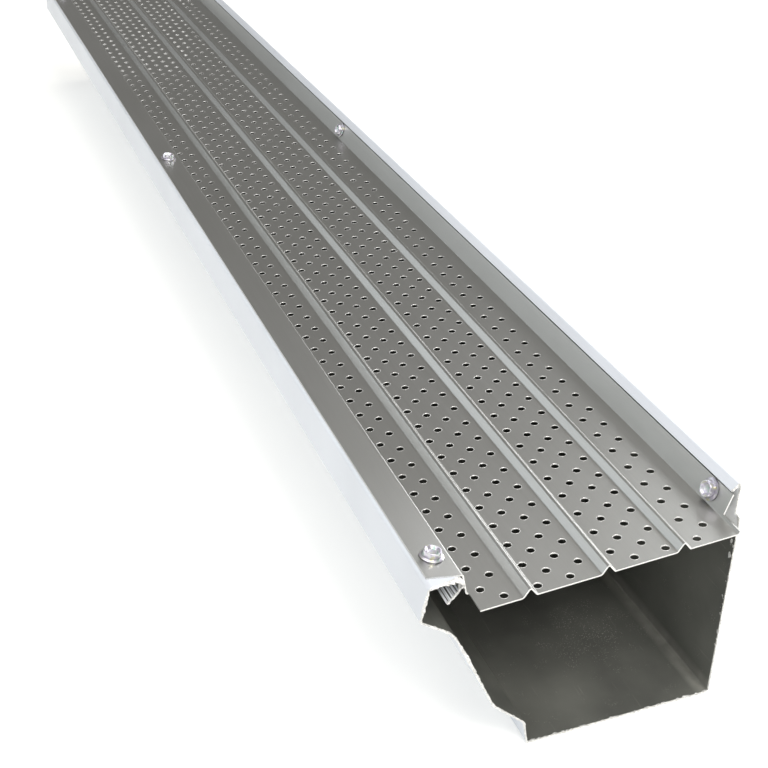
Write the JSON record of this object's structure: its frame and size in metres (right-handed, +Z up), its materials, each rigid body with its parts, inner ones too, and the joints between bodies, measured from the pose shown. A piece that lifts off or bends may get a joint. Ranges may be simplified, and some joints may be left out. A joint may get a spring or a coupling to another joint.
{
  "type": "gutter guard",
  "caption": "Ribbed perforated metal guard screwed over a length of K-style rain gutter, with a front flange on the lip and a back flange under the hem.",
  "frame": {"origin": "middle of the length and of the depth, on the plane of the gutter's flat bottom", "axes": "+X along the gutter away from the notched, sawn end, +Y out of the fascia towards the street, +Z up"},
  "size_m": [0.9144, 0.127, 0.0983],
  "materials": {
    "mill_aluminium": "mill finish, satin",
    "painted_aluminium": "baked white enamel outside, dark wash coat inside",
    "zinc_steel": "bright zinc plate"
  },
  "bodies": {
    "root": {"guard_panel": "mill_aluminium", "gutter_channel": "painted_aluminium", "front_screw_1": "zinc_steel", "front_screw_2": "zinc_steel", "front_screw_3": "zinc_steel", "back_screw_1": "zinc_steel", "back_screw_2": "zinc_steel", "back_screw_3": "zinc_steel"}
  },
  "joints": []
}
